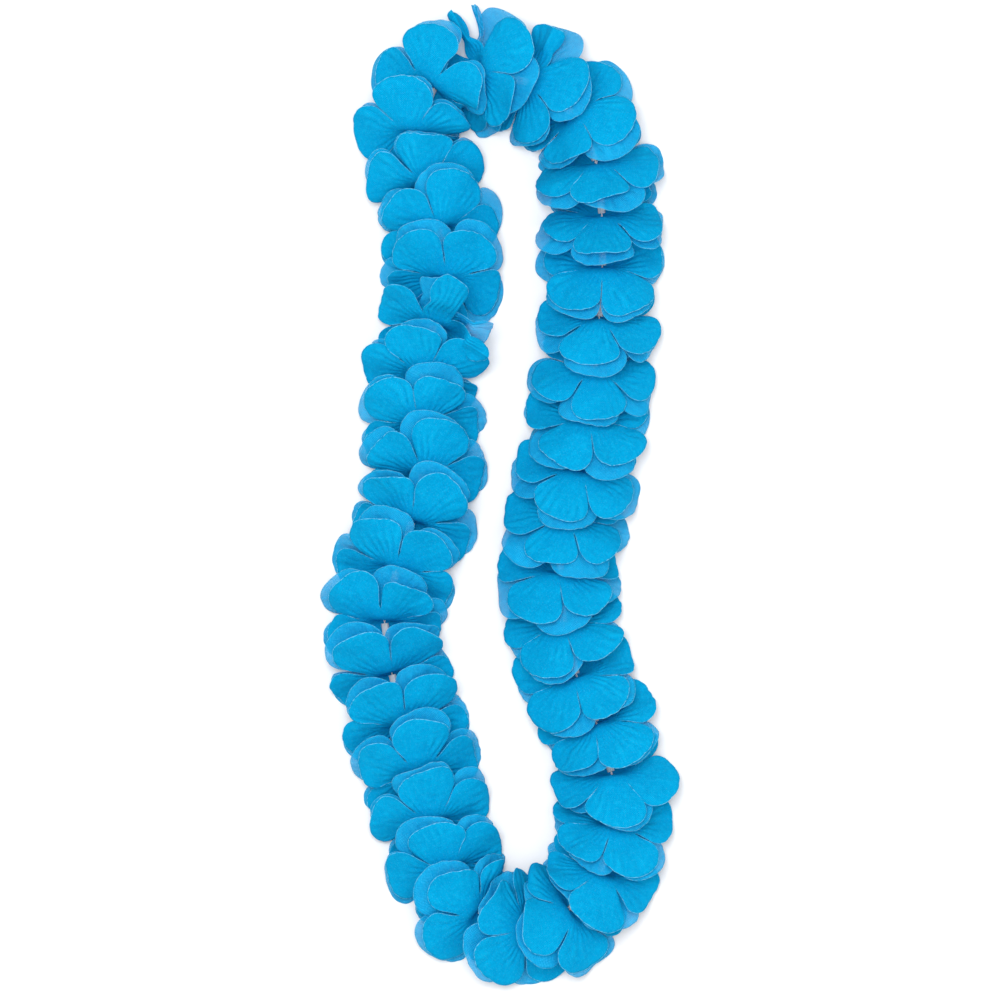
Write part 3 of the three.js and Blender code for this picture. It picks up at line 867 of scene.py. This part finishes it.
class LeiFlowerSettings(bpy.types.PropertyGroup):
    """Sizes and colours of the flowers' cloth."""

    cloth: length("Cloth Thickness", "Thickness of one layer of cloth", 0.18 * MM)
    ribs: FloatProperty(name="Ribs", description="Embossed ribs across a petal", default=3.2,
                        min=0)
    rib_depth: length("Rib Depth", "Height of the ribs", 0.42 * MM)
    ruffles: FloatProperty(name="Ruffles", description="Waves along a petal's edge", default=1.3)
    ruffle_depth: length("Ruffle Depth", "Height of the waves at the edge", 1.5 * MM)
    crumple_size: length("Crumple Size", "Distance between soft dents", 11 * MM)
    crumple_depth: length("Crumple Depth", "Depth of the soft dents", 0.8 * MM)
    scallops: IntProperty(name="Scallops", description="Soft bows in a petal's outline", default=4)
    scallop_depth: length("Scallop Depth", "How far the outline dips between bows", 0.45 * MM)
    thread_pitch: length("Thread Pitch", "Distance between the weave's threads", 0.45 * MM)
    fray_width: length("Fray Width", "Width of the pale frayed edge", 0.36 * MM)
    petal_blue: colour("Blue", "The cloth's dye", (0.0, 0.335, 0.65))
    petal_deep: colour("Deep Blue", "Where the dye took more", (0.0, 0.30, 0.605))
    # Painted highlight: the paler blue that stands for light on raised ribs, crinkles and slubs.
    painted_highlight_blue: colour("Pale Blue", "Worn ribs and slubs", (0.003, 0.46, 0.79))
    # Painted light: the pale threads that stand for light showing through a single layer's open
    # weave.
    painted_see_through_blue: colour("Thin Weave", "Threads of a single layer, seen against the light",
                       (0.08, 0.58, 0.88))
    fray: colour("Fray", "Ends of cut threads", (0.24, 0.68, 0.92))


class LeiStringSettings(bpy.types.PropertyGroup):
    """Sizes and colours of the string and its straws."""

    straw_length: length("Straw Length", "Length of each spacer", 22.2 * MM)
    straw_radius: length("Straw Radius", "Outer radius of a straw", 1.9 * MM)
    straw_wall: length("Straw Wall", "Thickness of a straw's wall", 0.2 * MM)
    straw: colour("Straw", "Tint of the clear plastic", (0.97, 0.985, 1.0))
    straw_shade: colour("Straw Shade", "Its darker streaks", (0.55, 0.62, 0.66))
    ply_radius: length("Ply Radius", "Radius of each of the string's two plies", 0.26 * MM)
    twist: length("Twist Length", "Length of one turn of the two plies", 4 * MM)
    thread: colour("Thread", "The string's white", (0.90, 0.90, 0.88))
    thread_shade: colour("Thread Shade", "Between its fibres", (0.62, 0.64, 0.66))


class LeiStageSettings(bpy.types.PropertyGroup):
    """The floor, light and camera."""

    floor: colour("Floor", "The pale surface that the lei lies on", (0.93, 0.93, 0.93))
    light: FloatProperty(name="Key Light", description="Power of the large soft light",
                         default=55.0, min=0.0, subtype="POWER", unit="POWER")
    sky: FloatProperty(name="Sky", description="Strength of the light from all round", default=0.8)
    lens: FloatProperty(name="Lens", description="The camera's focal length", default=400.0,
                        subtype="DISTANCE_CAMERA")


# ---- pieces --------------------------------------------------------------------------------


def ring(count):
    """The edges of a closed line through this many points."""
    return [(i, (i + 1) % count) for i in range(count)]


def mesh_piece(name, points, faces, edges=()):
    """A piece whose object sits at the origin, with its place in its mesh."""
    mesh = bpy.data.meshes.new(name)
    mesh.from_pydata(np.asarray(points).tolist(), edges, np.asarray(faces).tolist())
    piece = bpy.data.objects.new(name, mesh)
    bpy.context.scene.collection.objects.link(piece)
    return piece


def settle(pieces):
    """Makes plain meshes of what the pieces' modifiers give, and takes the modifiers off."""
    bpy.context.view_layer.update()
    graph = bpy.context.evaluated_depsgraph_get()
    for piece in pieces:
        plain = bpy.data.meshes.new_from_object(
            piece.evaluated_get(graph), preserve_all_data_layers=True, depsgraph=graph)
        if not plain.polygons:
            raise RuntimeError(f"{piece.name}: its nodes made no faces")
        before = piece.data
        piece.modifiers.clear()
        piece.data = plain
        plain.name = piece.name
        bpy.data.meshes.remove(before)


def stand_for(piece, slot, *nodes):
    """Says which CAD nodes a piece replaces, and hides them. The slot, where its finish comes
    from, is not used.
    """
    missing = [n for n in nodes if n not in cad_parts]
    if missing:
        raise RuntimeError(f"{piece.name}: the frame has no {missing}")
    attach(piece, "root")
    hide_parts(*nodes)


class LEI_OT_flowers(bpy.types.Operator):
    """Make the flowers: two layers of embossed cloth each, leaning on the next round the loop"""

    bl_idname = "lei.flowers"
    bl_label = "Flowers"

    def execute(self, context):
        look = context.scene.lei_flowers
        # The single layer's finish is made lighter by a painted lift, and painted light shows
        # through its open weave.
        cloth = cloth_finish("petal_cloth", look, alpha=1.0, painted_lift=1.0, painted_see_through=0.0)
        single = cloth_finish("petal_cloth_single", look, alpha=0.64, painted_lift=1.28, painted_see_through=0.4)
        fray = fray_finish(look)
        sheets = {(i, layer): layer_grid(i, layer, look)
                  for i in range(len(FLOWERS)) for layer in LAYERS}
        add_room(sheets)
        tree = petal_tree()
        pieces = {}
        for (i, layer), (points, faces, values) in sheets.items():
            piece = mesh_piece(f"petals_{LAYER_NAMES[layer]}_{i + 1:02d}", points, faces)
            piece.data.shade_smooth()
            for name, value in values.items():
                data = piece.data.attributes.new(name, "FLOAT", "POINT").data
                data.foreach_set("value", value.astype(np.float32))
            tree.fit(piece, {
                "Rib Count": look.ribs, "Rib Depth": look.rib_depth,
                "Ruffle Waves": look.ruffles, "Ruffle Depth": look.ruffle_depth,
                "Crumple Size": look.crumple_size, "Crumple Depth": look.crumple_depth,
                "Seed": float(2 * i + (layer < 0)), "Cloth Thickness": look.cloth,
                "Single Cloth From": float(SINGLE_FROM[layer]),
                "Cloth": cloth, "Single Cloth": single, "Cut Edge": fray,
            })
            pieces[i, layer] = piece
        settle(pieces.values())
        for (i, layer), piece in pieces.items():
            _, faces, values = sheets[i, layer]
            stand_for(piece, "petal_cloth", f"bloom_{i + 1:02d}")
        return {"FINISHED"}


class LEI_OT_straws(bpy.types.Operator):
    """Make the clear straws that hold the flowers apart"""

    bl_idname = "lei.straws"
    bl_label = "Spacer Straws"

    def execute(self, context):
        look = context.scene.lei_string
        piece = mesh_piece("spacer_straws", hole_points(), [], ring(len(FLOWERS)))
        straw_tree().fit(piece, {
            "Straw Length": look.straw_length, "Straw Radius": look.straw_radius,
            "Wall": look.straw_wall, "Sides": STRAW_SIDES, "Straw": straw_finish(look),
        })
        settle([piece])
        stand_for(piece, "string_and_straws", "string_with_spacer_straws")
        return {"FINISHED"}


class LEI_OT_string(bpy.types.Operator):
    """Make the white string through every hole and straw, and its knot"""

    bl_idname = "lei.string"
    bl_label = "String"

    def execute(self, context):
        look = context.scene.lei_string
        yarn = yarn_finish(look)
        holes = hole_points()
        pieces = (
            (mesh_piece("string", *self.line(holes)), look.ply_radius, STRING_STEP),
            (mesh_piece("string_knot", *self.knot(holes)), look.ply_radius * KNOT_PLY, KNOT_STEP),
        )
        for piece, radius, step in pieces:
            string_tree().fit(piece, {
                "Ply Radius": radius, "Twist Length": look.twist, "Step": step,
                "Sides": PLY_SIDES, "Yarn": yarn,
            })
        settle([piece for piece, _, _ in pieces])
        for piece, _, _ in pieces:
            stand_for(piece, "string_and_straws", "string_with_spacer_straws")
        return {"FINISHED"}

    def line(self, holes):
        """The string's line, straight inside each straw, as points, faces and edges."""
        points = []
        for before, here, after in zip(np.roll(holes, 1, 0), holes, np.roll(holes, -1, 0)):
            for other in (before, after):
                way = (other - here) / np.linalg.norm(other - here)
                points.append(here + way * STRING_BEND)
        return points, [], ring(len(points))

    def knot(self, holes):
        """The knot that closes the string, as the line of a threefold loop square to it."""
        here, ahead = holes[KNOT_AFTER], holes[KNOT_AFTER - 1]
        way = (ahead - here) / np.linalg.norm(ahead - here)
        side = np.cross((0, 0, 1), way)
        top = np.cross(way, side)
        turn = np.linspace(0, 2 * math.pi, KNOT_POINTS, endpoint=False)[:, None]
        points = here + way * KNOT_FROM_HOLE + KNOT_SIZE * (
            side * (np.sin(turn) + 2 * np.sin(2 * turn))
            + top * (np.cos(turn) - 2 * np.cos(2 * turn))
            - way * np.sin(3 * turn))
        return points, [], ring(KNOT_POINTS)


class LEI_OT_stage(bpy.types.Operator):
    """Make the pale floor, the soft studio light and the camera that looks straight down"""

    bl_idname = "lei.stage"
    bl_label = "Stage"

    def execute(self, context):
        look = context.scene.lei_stage
        half = FLOOR_SIZE / 2
        corners = [(-half, -half, 0), (half, -half, 0), (half, half, 0), (-half, half, 0)]
        floor = mesh_piece("floor", corners, [(0, 1, 2, 3)])
        floor.data.materials.append(floor_finish(look))
        world = bpy.data.worlds.new("studio")
        world.use_nodes = True
        background = world.node_tree.nodes["Background"]
        background.inputs["Color"].default_value = (1, 1, 1, 1)
        background.inputs["Strength"].default_value = look.sky
        context.scene.world = world
        for name, place, side, share in LIGHTS:
            light = bpy.data.lights.new(name, "AREA")
            light.size, light.energy = side, look.light * share
            lamp = bpy.data.objects.new(name, light)
            lamp.location = place
            lamp.rotation_euler = (-lamp.location).to_track_quat("-Z", "Y").to_euler()
            context.scene.collection.objects.link(lamp)
        camera = bpy.data.cameras.new("camera")
        camera.lens, camera.sensor_width = look.lens, SENSOR
        camera.clip_end = VIEW_DEPTH
        eye = bpy.data.objects.new("camera", camera)
        eye.location = (*PICTURE_MIDDLE, PICTURE_HEIGHT + PICTURE_WIDTH * look.lens / SENSOR)
        context.scene.collection.objects.link(eye)
        context.scene.camera = eye
        context.scene.view_settings.view_transform = "Standard"
        return {"FINISHED"}


# ---- the panel -----------------------------------------------------------------------------


class LEI_PT_panel(bpy.types.Panel):
    """Lists the lei's pieces and their settings"""

    bl_label = "Flower Lei"
    bl_idname = "LEI_PT_panel"
    bl_space_type = "VIEW_3D"
    bl_region_type = "UI"
    bl_category = "Lei"

    def draw(self, context):
        for operators, settings in (
            ((LEI_OT_flowers,), context.scene.lei_flowers),
            ((LEI_OT_straws, LEI_OT_string), context.scene.lei_string),
            ((LEI_OT_stage,), context.scene.lei_stage),
        ):
            box = self.layout.box()
            for operator in operators:
                box.operator(operator.bl_idname)
            for name in settings.bl_rna.properties.keys():
                if name not in ("rna_type", "name"):
                    box.prop(settings, name)


CLASSES = (LeiFlowerSettings, LeiStringSettings, LeiStageSettings, LEI_OT_flowers, LEI_OT_straws,
           LEI_OT_string, LEI_OT_stage, LEI_PT_panel)


def register():
    for cls in CLASSES:
        bpy.utils.register_class(cls)
    bpy.types.Scene.lei_flowers = PointerProperty(type=LeiFlowerSettings)
    bpy.types.Scene.lei_string = PointerProperty(type=LeiStringSettings)
    bpy.types.Scene.lei_stage = PointerProperty(type=LeiStageSettings)


def unregister():
    del bpy.types.Scene.lei_stage
    del bpy.types.Scene.lei_string
    del bpy.types.Scene.lei_flowers
    for cls in reversed(CLASSES):
        bpy.utils.unregister_class(cls)


def main():
    register()
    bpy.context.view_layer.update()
    bpy.ops.lei.stage()
    bpy.ops.lei.flowers()
    bpy.ops.lei.straws()
    bpy.ops.lei.string()


if __name__ == "__main__":
    main()
